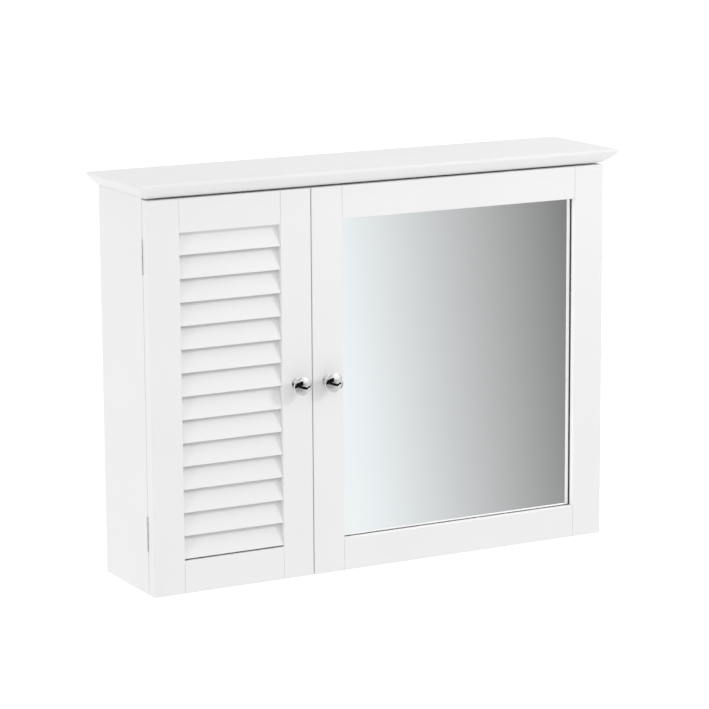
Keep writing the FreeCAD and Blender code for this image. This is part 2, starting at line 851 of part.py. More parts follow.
def make_knob(x):
    """Mushroom knob, turned: flange, hollow neck, round rim and a domed face."""
    dome_centre = (knob_projection ** 2 - knob_rim_height ** 2 - knob_head_radius ** 2) / (
        2 * (knob_projection - knob_rim_height))
    dome_radius = knob_projection - dome_centre
    half_angle = math.asin(knob_head_radius / dome_radius) / 2
    dome_via = (dome_radius * math.sin(half_angle), dome_centre + dome_radius * math.cos(half_angle))
    rim_low = knob_rim_height - knob_rim_thickness
    rim_edge = (knob_head_radius - knob_rim_tuck, rim_low)
    rim_via = (knob_head_radius + knob_rim_bulge, (rim_low + knob_rim_height) / 2)
    flange_edge = (knob_base_radius - knob_base_chamfer, knob_base_height)
    waist = (knob_neck_radius, knob_neck_height)
    steps = [
        [(knob_base_radius, 0)],
        [(knob_base_radius, knob_base_height - knob_base_chamfer)],
        [flange_edge],
        [cove_middle(waist, flange_edge), waist],
        [cove_middle(waist, rim_edge), rim_edge],
        [rim_via, (knob_head_radius, knob_rim_height)],
        [dome_via, (0, knob_projection)],
    ]
    knob = turned(steps, (x, door_front, knob_height), along_y * -1)
    return knob.cut(knob_screw_at(x, joint_fit)).removeSplitter()


def knob_screw_at(x, fit=0.0):
    seat = (x, door_back - knob_screw_head_height, knob_height)
    length = door_thickness - knob_screw_head_height + knob_screw_bite
    return knob_screw(seat, along_y * -1, length, fit)


# Every node by name

nodes = {
    "cornice_top": make_cornice(),
    "left_side_panel": make_side_panel(-1),
    "right_side_panel": make_side_panel(1),
    "bottom_panel": make_bottom_panel(),
    "centre_partition": make_partition(),
    "back_panel": make_back_panel(),
    "hanging_rail": make_hanging_rail(),
    "left_shelf": make_shelf(-inner_half, partition_left),
    "right_shelf": make_shelf(partition_right, inner_half),
    "shelf_pins": Part.makeCompound([shelf_pin(place, inward) for place, inward in pin_seats]),
    "hanging_plates": Part.makeCompound([make_hanging_plate(place) for place in plate_middles()]),
    "hanging_plate_screws": Part.makeCompound(screws_at(plate_screw_seats(), plate_screw_length)),
    "dowels": Part.makeCompound([dowel(place, direction) for place, direction in dowel_seats]),
    "cam_bolts": Part.makeCompound([cam_bolt(place, direction) for place, direction in bolt_seats]),
    "cam_discs": Part.makeCompound([cam_disc(*seat) for seat in disc_seats]),
    "left_catch": make_catch(*catch_sides[0]),
    "right_catch": make_catch(*catch_sides[1]),
    "catch_magnets": Part.makeCompound([magnet_box(*catch, 0) for catch in catch_sides]),
    "catch_screws": Part.makeCompound(screws_at(catch_screw_seats(), catch_screw_length)),
}

for name, side in (("left", -1), ("right", 1)):
    nodes[name + "_hinge_carcass_leaves"] = make_leaves(side, 1, 0)
    nodes[name + "_hinge_door_leaves"] = make_leaves(side, -1, 1)
    nodes[name + "_hinge_pins"] = make_pins(side)
    carcass_seats = hinge_screw_seats(side, 1)
    nodes[name + "_hinge_carcass_screws"] = Part.makeCompound(screws_at(carcass_seats, screw_length))

# Cutters for what is fixed to the back of each door
hardware_cuts = {}
for name, side, knob_x, catch in (("left", -1, louvre_knob_x, 0), ("right", 1, mirror_knob_x, 1)):
    hinge_seats = hinge_screw_seats(side, -1)
    strike_place, strike_direction = strike_seat(*catch_sides[catch])
    hinge_holes = screws_at(hinge_seats, door_screw_length, screw_fit)
    hardware_cuts[name + "_hinge"] = hinge_recess(side, door_back, -1) + hinge_holes
    hardware_cuts[name + "_lock"] = [
        knob_screw_at(knob_x, joint_fit),
        wood_screw(strike_place, strike_direction, strike_screw_length, screw_fit),
    ]
    nodes[name + "_knob"] = make_knob(knob_x)
    nodes[name + "_knob_screw"] = knob_screw_at(knob_x)
    nodes[name + "_strike_plate"] = make_strike(*catch_sides[catch])
    door_screws = screws_at(hinge_seats, door_screw_length)
    door_screws.append(wood_screw(strike_place, strike_direction, strike_screw_length))
    nodes[name + "_door_screws"] = Part.makeCompound(door_screws)

nodes["louvre_hinge_stile"] = make_stile(
    (-half_width, louvre_opening[0]), True, louvre_opening, slat_mortises + hardware_cuts["left_hinge"])
nodes["louvre_lock_stile"] = make_stile(
    (louvre_opening[1], louvre_lock_edge), False, louvre_opening, slat_mortises + hardware_cuts["left_lock"])
nodes["louvre_bottom_rail"] = make_rail(louvre_opening, rail_heights[0], True, [])
nodes["louvre_top_rail"] = make_rail(louvre_opening, rail_heights[1], False, [slat_mortises[-1]])
for index in range(slat_count):
    nodes["louvre_slat_%02d" % (index + 1)] = slat_bar(index, 0, slat_housing)

mirror_cuts = [mirror_rebate] + panel_pins(panel_pin_fit)
nodes["mirror_lock_stile"] = make_stile(
    (mirror_lock_edge, mirror_opening[0]), True, mirror_opening, mirror_cuts + hardware_cuts["right_lock"])
nodes["mirror_hinge_stile"] = make_stile(
    (mirror_opening[1], half_width), False, mirror_opening, mirror_cuts + hardware_cuts["right_hinge"])
nodes["mirror_bottom_rail"] = make_rail(mirror_opening, rail_heights[0], True, mirror_cuts)
nodes["mirror_top_rail"] = make_rail(mirror_opening, rail_heights[1], False, mirror_cuts)
nodes["mirror_glass"] = behind_opening((glass_front, backing_front), glass_fit)
nodes["mirror_backing"] = behind_opening((backing_front, backing_rear), glass_fit)
nodes["mirror_panel_pins"] = Part.makeCompound(panel_pins(0))

os.makedirs("parts", exist_ok=True)
for name, shape in nodes.items():
    if not shape.isValid() or min(solid.Volume for solid in shape.Solids) <= 0:
        raise ValueError("bad shape: " + name)
    shape.exportStep(os.path.join("parts", name + ".step"))
print(len(nodes), "nodes,", sum(len(shape.Solids) for shape in nodes.values()), "solids")
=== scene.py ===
# %% [markdown]
# A white bathroom cabinet in a bright studio
#
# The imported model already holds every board, slat, hinge and knob at its real size. This lesson gives
# those pieces the finish of the real thing: sprayed lacquer, silvered glass, bright chrome, plated
# steel. Three kinds of piece get a new mesh, because a close look needs more than the solid shows: the
# knobs, the mirror and the screws. Units are metres, X runs to the right seen from the front, Y to the
# wall and Z up.

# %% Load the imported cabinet
import json
import math

import bpy
import numpy as np
from mathutils import Euler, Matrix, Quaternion, Vector

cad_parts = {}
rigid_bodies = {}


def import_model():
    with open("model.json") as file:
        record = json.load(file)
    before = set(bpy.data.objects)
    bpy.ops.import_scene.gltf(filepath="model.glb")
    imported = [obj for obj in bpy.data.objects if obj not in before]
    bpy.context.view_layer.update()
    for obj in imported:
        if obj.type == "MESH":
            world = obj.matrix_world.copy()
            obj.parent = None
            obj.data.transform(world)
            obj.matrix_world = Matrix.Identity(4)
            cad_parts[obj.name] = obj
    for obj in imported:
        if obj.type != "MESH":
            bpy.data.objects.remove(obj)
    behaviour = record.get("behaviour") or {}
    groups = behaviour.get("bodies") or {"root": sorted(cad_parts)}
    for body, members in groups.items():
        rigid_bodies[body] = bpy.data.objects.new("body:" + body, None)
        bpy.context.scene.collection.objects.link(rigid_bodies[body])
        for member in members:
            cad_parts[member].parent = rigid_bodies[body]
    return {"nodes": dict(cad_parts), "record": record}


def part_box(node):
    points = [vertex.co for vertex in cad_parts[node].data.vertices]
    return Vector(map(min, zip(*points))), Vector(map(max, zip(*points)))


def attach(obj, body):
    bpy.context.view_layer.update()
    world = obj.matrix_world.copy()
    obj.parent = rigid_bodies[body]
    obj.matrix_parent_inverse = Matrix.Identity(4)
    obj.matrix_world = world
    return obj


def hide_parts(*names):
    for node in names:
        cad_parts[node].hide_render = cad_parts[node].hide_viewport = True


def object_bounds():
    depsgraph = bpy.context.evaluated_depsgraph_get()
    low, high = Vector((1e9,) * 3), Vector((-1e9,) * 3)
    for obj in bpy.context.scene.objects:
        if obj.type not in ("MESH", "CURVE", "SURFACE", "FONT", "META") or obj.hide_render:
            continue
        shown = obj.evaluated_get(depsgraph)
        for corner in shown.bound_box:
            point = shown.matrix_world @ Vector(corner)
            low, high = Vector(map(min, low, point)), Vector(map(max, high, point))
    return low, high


for leftover in list(bpy.data.objects):
    bpy.data.objects.remove(leftover)
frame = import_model()
cad_low, cad_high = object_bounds()
nodes = frame["nodes"]
bodies = frame["record"]["behaviour"]["bodies"]
slot_of = {part["node"]: part["material_slot"] for part in frame["record"]["subparts"]}
body_of = {node: body for body, members in bodies.items() for node in members}
mm = 0.001
print("box with knobs, mm:", [round(side / mm) for side in cad_high - cad_low], "nodes:", len(nodes))

# %% [markdown]
# Shader arithmetic in plain Python
#
# A finish is a little program: noise here, an edge mask there, a colour mixed from both. Wiring it node
# by node hides the thought, so a small class wraps one socket and lets Python's operators add the Math
# nodes. Everything else comes from a single method that takes the node's type, its settings and its
# sockets.

# %% A wire that knows arithmetic
class Wire:
    """One value in a material; arithmetic on it adds Math nodes, so 1 - mask works as written."""

    def __init__(self, finish, socket):
        self.finish = finish
        self.socket = socket

    def __add__(self, other):
        return self.finish.math("ADD", self, other)

    def __radd__(self, other):
        return self.finish.math("ADD", other, self)

    def __sub__(self, other):
        return self.finish.math("SUBTRACT", self, other)

    def __rsub__(self, other):
        return self.finish.math("SUBTRACT", other, self)

    def __mul__(self, other):
        return self.finish.math("MULTIPLY", self, other)

    def __rmul__(self, other):
        return self.finish.math("MULTIPLY", other, self)

    def __lt__(self, other):
        return self.finish.math("LESS_THAN", self, other)

    def __gt__(self, other):
        return self.finish.math("GREATER_THAN", self, other)


# %% A finish under construction
class Finish:
    """The nodes of a material or a sky around its one shader, with helpers that the finishes share."""

    def __init__(self, owner, shader="BSDF_PRINCIPLED", place="Object"):
        self.owner = owner
        owner.use_nodes = True
        self.tree = owner.node_tree
        self.shader = next(node for node in self.tree.nodes if node.type == shader)
        self.place = self.node("TexCoord", {}, {}, place)

    def connect(self, socket, value):
        """A wire is linked to the socket, and a number or colour is set on it."""
        if isinstance(value, Wire):
            self.tree.links.new(value.socket, socket)
        else:
            socket.default_value = value

    def node(self, kind, settings, sockets, output=0):
        """Any node: its type, its settings (a ramp's stops among them), its sockets, the output wanted."""
        made = self.tree.nodes.new("ShaderNode" + kind)
        for name, value in settings.items():
            if name == "stops":
                elements = made.color_ramp.elements
                elements.remove(elements[1])
                elements[0].position, elements[0].color = value[0]
                for position, colour in value[1:]:
                    elements.new(position).color = colour
            else:
                setattr(made, name, value)
        for name, value in sockets.items():
            self.connect(made.inputs[name], value)
        return Wire(self, made.outputs[output])

    def math(self, operation, first, second):
        return self.node("Math", {"operation": operation}, {0: first, 1: second})

    def part(self, vector, axis):
        """The X, Y or Z of a vector."""
        return self.node("SeparateXYZ", {}, {"Vector": vector}, axis)

    def noise(self, cells_per_metre, detail=2.0, stretch=(1.0, 1.0, 1.0)):
        """Soft noise; a stretch under 1 along an axis draws its blotches out that way."""
        spread = self.node("Mapping", {}, {"Vector": self.place, "Scale": stretch})
        return self.node("TexNoise", {}, {"Vector": spread, "Scale": cells_per_metre, "Detail": detail})

    def rise(self, value, low, high):
        """0 below low, 1 above high, smooth between."""
        limits = {"Value": value, "From Min": low, "From Max": high}
        return self.node("MapRange", {"interpolation_type": "SMOOTHSTEP"}, limits)

    def mix(self, share, first, second):
        """Colour that goes from the first to the second as the share goes from 0 to 1."""
        return self.node("Mix", {"data_type": "RGBA"}, {0: share, 6: first, 7: second}, 2)

    def rounded(self, radius):
        """Normal of the surface as if its edges were rounded by this radius."""
        return self.node("Bevel", {"samples": 6}, {"Radius": radius})

    def edge(self, soft_normal):
        """Mask of the edges: how far the rounded normal leaves the true one."""
        first_sign, full_edge = 0.01, 0.2
        true_normal = self.node("NewGeometry", {}, {}, "Normal")
        normals = {0: soft_normal, 1: true_normal}
        likeness = self.node("VectorMath", {"operation": "DOT_PRODUCT"}, normals, "Value")
        return self.rise(1 - likeness, first_sign, full_edge)

    def bump(self, height, depth, normal=None):
        """Relief whose full height is the given depth in metres."""
        sockets = {"Strength": 1.0, "Distance": depth, "Height": height}
        if normal:
            sockets["Normal"] = normal
        return self.node("Bump", {}, sockets)

    def surface(self, sockets):
        """The last step: set or link the shader's own sockets."""
        for name, value in sockets.items():
            self.connect(self.shader.inputs[name], value)
        return self.owner


def new_finish(name):
    return Finish(bpy.data.materials.new(name))


# %% [markdown]
# White lacquer
#
# Boards, door frames and slats are fibreboard and softwood under a sprayed satin lacquer. Up close such
# a coat is never flat: it drifts a little in tone from one arm's sweep to the next, it has the fine
# dimples that painters call orange peel, it lies thinner on the edges, and on the slats the grain below
# still shows as faint lines. The edges are rounded in the shader, which reads better than a razor edge
# and costs no faces.

# %% Sprayed lacquer
def sprayed_lacquer(name, tone, grain=None):
    """Satin lacquer; grain, when given, is the stretch of the wood's lines below it.

    The relief is a share of orange peel, a few dust nibs and a share of grain. The tone drifts to a shade
    darker, and on the edges it goes part of the way to the thin coat's tone.
    """
    edge_round, relief_depth = 0.9 * mm, 0.02 * mm
    drift_cells, nib_cells, grain_cells, peel_cells = 6.0, 210.0, 420.0, 650.0
    peel_share, grain_share, edge_share = 0.7, 1.6, 0.5
    shaded_tone = [channel * 0.985 for channel in tone]
    thin_tone = [channel * shade for channel, shade in zip(tone, (0.97, 0.965, 0.955))]
    finish = new_finish(name)
    soft = finish.rounded(edge_round)
    edge = finish.edge(soft)
    drift = finish.noise(drift_cells)
    peel = finish.noise(peel_cells, 1.0)
    nib = finish.rise(finish.noise(nib_cells, 0.0), 0.8, 0.86)
    relief = peel * peel_share + nib
    if grain:
        relief = relief + finish.noise(grain_cells, 3.0, grain) * grain_share
    coat = finish.mix(finish.rise(drift, 0.35, 0.65), (*tone, 1), (*shaded_tone, 1))
    return finish.surface({
        "Base Color": finish.mix(edge * edge_share, coat, (*thin_tone, 1)),
        "Roughness": 0.4 + drift * 0.06 + peel * 0.05 - edge * 0.06,
        "Normal": finish.bump(relief, relief_depth, soft),
        "Specular IOR Level": 0.45,
    })


paint = (0.79, 0.79, 0.79)
lying, upright = (0.04, 1.0, 1.0), (1.0, 1.0, 0.04)
board_lacquer = sprayed_lacquer("board_lacquer", paint)
slat_lacquer = sprayed_lacquer("slat_lacquer", paint, grain=lying)
upright_lacquer = sprayed_lacquer("upright_lacquer", paint, grain=upright)
print("lacquers:", board_lacquer.name, slat_lacquer.name, upright_lacquer.name)

# %% [markdown]
# Hardboard and beech
#
# The back panel and the board behind the mirror are hardboard: brown, pressed from fibres, with the
# print of the wire screen on its rough side. The back panel is lacquered white on the side that faces
# the shelves. Such a panel could be two sheets, but one material that asks for the depth of a point
# keeps it a single board. The dowels are plain beech with its short darker flecks.

# %% Hardboard, raw or white on one side
def hardboard(name, white_front_y=None):
    """Pressed fibres with darker clouds, lacquered white in front of white_front_y when that is given."""
    fibre_cells, cloud_cells, screen_cells = 900.0, 14.0, 1500.0
    dark_fibre, pale_fibre = (0.16, 0.085, 0.045, 1), (0.30, 0.18, 0.10, 1)
    cloud_brown, cloud_share = (0.12, 0.065, 0.035, 1), 0.35
    relief_depth = 0.05 * mm
    finish = new_finish(name)
    fibre = finish.noise(fibre_cells, 4.0, (1.0, 1.0, 0.35))
    cloud = finish.noise(cloud_cells, 3.0)
    screen = finish.node(
        "TexMagic", {"turbulence_depth": 0}, {"Vector": finish.place, "Scale": screen_cells}, "Fac")
    raw = finish.mix(finish.rise(fibre, 0.3, 0.7), dark_fibre, pale_fibre)
    colour = finish.mix(finish.rise(cloud, 0.4, 0.7) * cloud_share, raw, cloud_brown)
    roughness = 0.72 + fibre * 0.15
    if white_front_y is not None:
        white = finish.part(finish.place, "Y") < white_front_y
        colour = finish.mix(white, colour, (*paint, 1))
        roughness = roughness - white * 0.35
    return finish.surface({
        "Base Color": colour,
        "Roughness": roughness,
        "Normal": finish.bump(fibre * 0.6 + screen * 0.4, relief_depth),
    })


def beech_wood(name):
    """Pale wood whose grain runs along Z, with short dark flecks."""
    grain_cells, fleck_cells = 260.0, 700.0
    dark_wood, pale_wood = (0.46, 0.28, 0.15, 1), (0.66, 0.45, 0.27, 1)
    fleck_brown, fleck_share = (0.30, 0.16, 0.08, 1), 0.6
    relief_depth = 0.05 * mm
    finish = new_finish(name)
    grain = finish.noise(grain_cells, 4.0, (1.0, 1.0, 0.08))
    fleck = finish.rise(finish.noise(fleck_cells, 1.0, (1.0, 1.0, 0.2)), 0.6, 0.72)
    return finish.surface({
        "Base Color": finish.mix(fleck * fleck_share, finish.mix(grain, dark_wood, pale_wood), fleck_brown),
        "Roughness": 0.55 + grain * 0.2,
        "Normal": finish.bump(grain, relief_depth),
    })


back_low, back_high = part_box("back_panel")
back_hardboard = hardboard("back_hardboard", (back_low.y + back_high.y) / 2)
raw_hardboard = hardboard("raw_hardboard")
beech = beech_wood("beech")
print("back panel, mm thick:", round((back_high.y - back_low.y) / mm, 2))

# %% [markdown]
# Metals, plastic and magnet
#
# Chrome is a mirror that curves, so nearly all of its look is what it reflects; only a breath of haze
# and a few wiping marks belong to the metal. Nickel and zinc are plated over rolled steel: the rolling
# leaves fine streaks and the plating a soft, cloudy sheen. The satin nickel of the hinges scatters so
# much light that it counts as less than half metal. The catch is moulded plastic and its magnet a block
# of dull ferrite.

# %% Plated metals
def plated_metal(name, tone, roughness, streak, haze, metallic=1.0):
    """Metal with streaks drawn out along one axis and a cloudy haze between them, darker where it is hazy."""
    line_cells, cloud_cells = 1500.0, 120.0
    dull_tone = [channel * (1 - haze * 0.9) for channel in tone]
    finish = new_finish(name)
    lines = finish.noise(line_cells, 2.0, streak)
    cloud = finish.noise(cloud_cells, 3.0)
    return finish.surface({
        "Base Color": finish.mix(finish.rise(cloud, 0.35, 0.75), (*tone, 1), (*dull_tone, 1)),
        "Metallic": metallic,
        "Roughness": roughness + cloud * haze + lines * haze * 0.5,
        "Normal": finish.bump(lines, haze * 0.04 * mm),
    })


chrome = plated_metal("chrome_plate", (0.95, 0.95, 0.955), 0.02, (1.0, 1.0, 0.2), haze=0.03)
nickel = plated_metal("nickel_plate", (0.76, 0.76, 0.765), 0.22, (1.0, 1.0, 0.03), haze=0.2, metallic=0.4)
zinc = plated_metal("zinc_plate", (0.58, 0.59, 0.61), 0.26, (0.3, 0.3, 0.3), haze=0.25)
print("metals:", chrome.name, nickel.name, zinc.name)


# %% Moulded plastic and ferrite
def moulded_plastic(name):
    """Off-white plastic: the fine texture of the mould, and faint lines where it flowed."""
    spark_cells, flow_cells = 1800.0, 60.0
    edge_round, relief_depth = 0.5 * mm, 0.03 * mm
    finish = new_finish(name)
    spark = finish.noise(spark_cells, 1.0)
    flow = finish.noise(flow_cells, 2.0, (1.0, 1.0, 0.3))
    return finish.surface({
        "Base Color": finish.mix(flow, (0.74, 0.735, 0.71, 1), (0.80, 0.80, 0.78, 1)),
        "Roughness": 0.42 + spark * 0.15,
        "Normal": finish.bump(spark, relief_depth, finish.rounded(edge_round)),
    })


def pressed_ferrite(name):
    """Nearly black ceramic with a fine grit."""
    grit_cells = 2200.0
    edge_round, relief_depth = 0.3 * mm, 0.06 * mm
    finish = new_finish(name)
    grit = finish.noise(grit_cells, 3.0)
    return finish.surface({
        "Base Color": finish.mix(grit, (0.02, 0.02, 0.021, 1), (0.07, 0.068, 0.066, 1)),
        "Roughness": 0.55 + grit * 0.25,
        "Normal": finish.bump(grit, relief_depth, finish.rounded(edge_round)),
    })


catch_plastic = moulded_plastic("catch_plastic")
ferrite = pressed_ferrite("ferrite")
print("mouldings:", catch_plastic.name, ferrite.name)

# %% [markdown]
# Every solid gets its finish
#
# The record names a material slot for each node, so one table from slot to finish dresses the whole
# model. Only the lacquered pieces differ among themselves: the slats and rails have their grain lying,
# the stiles upright.

# %% Dress the solids
finish_of_slot = {
    "white_lacquer": board_lacquer,
    "white_hardboard": back_hardboard,
    "brown_hardboard": raw_hardboard,
    "beech": beech,
    "chrome": chrome,
    "nickel_steel": nickel,
    "zinc": zinc,
    "white_plastic": catch_plastic,
    "magnet": ferrite,
}
for name, solid in nodes.items():
    finish = finish_of_slot.get(slot_of[name], board_lacquer)
    if "slat" in name or "rail" in name and "hanging" not in name:
        finish = slat_lacquer
    elif "stile" in name:
        finish = upright_lacquer
    solid.data.materials.clear()
    solid.data.materials.append(finish)
print("dressed", len(nodes), "solids")

# %% [markdown]
# From a grid of points to a mesh
#
# Each new piece is a surface with two parameters, worked out for the whole grid at once. A few helpers
# turn such a grid into a closed mesh: one lists the quads between neighbouring points, one sees that
# they face outwards, and one makes the object, marks the sharp edges and lets it ride on the body of the
# solid that it stands for.

# %% Grid helpers
def closed_grid_faces(rows, columns, first=0):
    """Quads between rows of points that run round in a ring, and one face to close each end."""
    index = first + np.arange(rows * columns).reshape(rows, columns)
    ahead = np.roll(index, -1, axis=1)
    quads = np.stack([index[:-1], ahead[:-1], ahead[1:], index[1:]], axis=-1).reshape(-1, 4)
    return quads.tolist() + [index[0, ::-1].tolist(), index[-1].tolist()]


def facing_out(grid):
    """The grid, run round the other way where its faces would point inwards (the volume's sign tells)."""
    ahead = np.roll(grid, -1, axis=1)
    middle = grid.mean(axis=(0, 1))
    corner, along, across = grid[:-1] - middle, ahead[:-1] - middle, grid[1:] - middle
    volume = np.einsum("ijk,ijk->", corner, np.cross(along, across))
    return grid if volume > 0 else grid[:, ::-1]


def make_piece(name, rings, finish, stands_for, sharp_degrees=35):
    """Mesh object from (rows, columns, 3) grids, riding on the body of the node that it stands for."""
    faces = []
    first = 0
    rings = [facing_out(ring) for ring in rings]
    for ring in rings:
        faces += closed_grid_faces(*ring.shape[:2], first)
        first += ring.shape[0] * ring.shape[1]
    points = np.concatenate([ring.reshape(-1, 3) for ring in rings])
    mesh = bpy.data.meshes.new(name)
    mesh.from_pydata(points.tolist(), [], faces)
    mesh.shade_smooth()
    mesh.set_sharp_from_angle(angle=math.radians(sharp_degrees))
    mesh.materials.append(finish)
    piece = bpy.data.objects.new(name, mesh)
    bpy.context.scene.collection.objects.link(piece)
    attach(piece, body_of[stands_for])
    return piece


def arc(centre, radius, start, end, steps):
    """Points of a circle's arc, one (r, h) pair a row, between two angles in degrees."""
    turn = np.radians(np.linspace(start, end, steps))
    return np.stack([centre[0] + radius * np.cos(turn), centre[1] + radius * np.sin(turn)], axis=1)


# %% [markdown]
# Turned knobs
#
# A knob like this is turned from brass bar on a lathe and then chromed, so it is a profile spun about an
# axis: a flared foot, a narrow waist, a rolled rim and a domed face. Chrome shows every facet, which is
# why the profile is sampled finely and each bend of it is an arc, not a corner.

# %% Knob profile
def knob_profile(head_radius, projection):
    """(radius, height) of the knob from the middle of its foot to the middle of its dome, in metres.

    Arcs from the foot up: the foot's edge, the flare in to the waist, the cove out to the rim, the rim, and a
    dome whose radius is (r r + h h) / (2 h) for a cap of half width r and height h.
    """
    foot_radius, foot_height, foot_round = 7.9 * mm, 1.2 * mm, 0.3 * mm
    waist_radius, waist_height = 4.8 * mm, 8.5 * mm
    rim_low, rim_radius = 12.1 * mm, 2.6 * mm
    flare_turn, rim_start, rim_end, dome_end = 50.0, -80, 35, 89.7
    foot_steps, arc_steps, dome_steps = 6, 20, 40
    tiny = 0.1 * mm
    below = np.array([[tiny, 0.0], [foot_radius - foot_round, 0.0], [foot_radius, foot_round]])
    foot_middle = (foot_radius - foot_round, foot_height - foot_round)
    foot = arc(foot_middle, foot_round, 0, 90 - flare_turn / 2, foot_steps)
    flare_radius = (foot[-1][0] - waist_radius) / (1 - math.cos(math.radians(flare_turn)))
    flare_top = foot[-1][1] + flare_radius * math.sin(math.radians(flare_turn))
    flare_middle = (waist_radius + flare_radius, flare_top)
    flare = arc(flare_middle, flare_radius, 180 + flare_turn, 180, arc_steps)
    cove_run = head_radius - rim_radius - waist_radius
    cove_rise = rim_low - waist_height
    cove_radius = (cove_run ** 2 + cove_rise ** 2) / (2 * cove_run)
    cove_turn = math.degrees(math.atan2(cove_rise, cove_radius - cove_run))
    cove = arc((waist_radius + cove_radius, waist_height), cove_radius, 180, 180 - cove_turn, arc_steps)
    rim = arc((head_radius - rim_radius, rim_low + rim_radius), rim_radius, rim_start, rim_end, arc_steps)
    edge_radius, edge_height = rim[-1]
    dome_rise = projection - edge_height
    dome_radius = (edge_radius ** 2 + dome_rise ** 2) / (2 * dome_rise)
    dome_turn = math.degrees(math.asin(edge_radius / dome_radius))
    dome = arc((0.0, projection - dome_radius), dome_radius, 90 - dome_turn, dome_end, dome_steps)
    return np.concatenate([below, foot, flare[1:], cove, rim, dome[1:]])


# %% Spin the profile
def spun_about_y(profile, middle, sides):
    """Point (r cos t, -h, r sin t) from the middle of the foot, for each profile point and angle t."""
    turn = np.arange(sides) * (2 * math.pi / sides)
    radius, height = profile[:, :1], profile[:, 1:]
    grid = np.stack([radius * np.cos(turn), -height + 0 * turn, radius * np.sin(turn)], axis=-1)
    return grid + np.array(middle)


knob_sides = 96
for side in ("left", "right"):
    low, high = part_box(side + "_knob")
    head_radius = (high.x - low.x) / 2
    projection = high.y - low.y
    foot_middle = ((low.x + high.x) / 2, high.y, (low.z + high.z) / 2)
    rings = [spun_about_y(knob_profile(head_radius, projection), foot_middle, knob_sides)]
    knob = make_piece(side + "_turned_knob", rings, chrome, side + "_knob")
    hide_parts(side + "_knob")
    print(knob.name, "faces:", len(knob.data.polygons))

# %% [markdown]
# The mirror
#
# A mirror is a sheet of glass silvered on its back, and that is what gives it depth: along the frame the
# eye sees a thin dark line, where the glass carries the view under the lip of the rebate. A single shiny
# plane would miss it. So the pane is real glass with a ground edge, and a thin sheet of silver lies
# against its back.

# %% Glass and silver
def float_glass(name):
    """Clear glass with the faintest wiping marks."""
    wipe_cells = 22.0
    finish = new_finish(name)
    wipe = finish.rise(finish.noise(wipe_cells, 2.0, (1.0, 1.0, 0.25)), 0.55, 0.8)
    return finish.surface({
        "Base Color": (0.99, 0.99, 0.99, 1),
        "Roughness": wipe * 0.004,
        "Transmission Weight": 1.0,
        "IOR": 1.52,
        "Specular Tint": (0, 0, 0, 1),
    })


def silver_coat(name):
    """Silver whose tone and polish drift by a hair."""
    cloud_cells = 9.0
    finish = new_finish(name)
    cloud = finish.noise(cloud_cells, 2.0)
    return finish.surface({
        "Base Color": finish.mix(cloud, (0.94, 0.94, 0.94, 1), (0.96, 0.96, 0.96, 1)),
        "Metallic": 1.0,
        "Roughness": cloud * 0.006,
    })


# %% Sheets with ground edges
def rounded_rectangle(low, high, corner, inset, steps=6):
    """Ring of (x, z) points: a quarter circle round each corner's centre, its radius less by the inset."""
    quarter = np.linspace(0, 90, steps)
    turn = np.radians(np.concatenate([quarter + start for start in (0, 90, 180, 270)]))
    left, right = low.x + corner, high.x - corner
    bottom, top = low.z + corner, high.z - corner
    centre_x = np.repeat([right, left, left, right], steps)
    centre_z = np.repeat([top, top, bottom, bottom], steps)
    radius = corner - inset
    return np.stack([centre_x + radius * np.cos(turn), centre_z + radius * np.sin(turn)], axis=1)


def sheet_grid(low, high, front_y, back_y, corner, arris):
    """Sheet with ground edges: the outline at four depths, drawn in by the arris at both faces."""
    depths = (front_y, front_y + arris, back_y - arris, back_y)
    insets = (arris, 0.0, 0.0, arris)
    outlines = [rounded_rectangle(low, high, corner, inset) for inset in insets]
    return np.stack([np.insert(outline, 1, depth, axis=1) for outline, depth in zip(outlines, depths)])


glass_low, glass_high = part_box("mirror_glass")
lip_gap, silver_gap = 0.15 * mm, 0.01 * mm
silver_depth = 0.06 * mm
pane_front = glass_low.y + lip_gap
pane_back = glass_high.y - silver_depth
pane_corner, pane_arris, silver_arris = 2.0 * mm, 0.4 * mm, 0.01 * mm
pane_grid = sheet_grid(glass_low, glass_high, pane_front, pane_back, pane_corner, pane_arris)
silver_front = pane_back + silver_gap
silver_grid = sheet_grid(glass_low, glass_high, silver_front, glass_high.y, pane_corner, silver_arris)
pane = make_piece("mirror_pane", [pane_grid], float_glass("float_glass"), "mirror_glass")
silver = make_piece("mirror_silver", [silver_grid], silver_coat("silver_coat"), "mirror_glass")
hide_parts("mirror_glass")
pane_size = glass_high - glass_low
print(pane.name, "and", silver.name, "mm:", round(pane_size.x / mm, 1), "x", round(pane_size.z / mm, 1))

# %% [markdown]
# Screws with a cross recess
#
# The solids hold each screw as a plain pin with a head. Opened doors show those heads close up, so each
# one is made again as a surface in two parameters, the way along its profile and the angle: a flat head
# with a cross sunk into it, a cone below, and a thread whose radius swells once a turn. Where each screw
# sits is read from the solids: their points are split wherever an empty gap shows in one of the two
# directions across the screws.

# %% Find the single screws of a group
def split_at_gaps(points, gap, axes):
    """Groups of points that lie more than a gap apart along the first of the axes, then along the next."""
    if not axes:
        return [points]
    ordered = points[np.argsort(points[:, axes[0]])]
    cuts = np.nonzero(np.diff(ordered[:, axes[0]]) > gap)[0] + 1
    return [group for block in np.split(ordered, cuts) for group in split_at_gaps(block, gap, axes[1:])]


def node_points(name):
    """All points of a solid, one row each."""
    vertices = nodes[name].data.vertices
    flat = np.empty(len(vertices) * 3)
    vertices.foreach_get("co", flat)
    return flat.reshape(-1, 3)


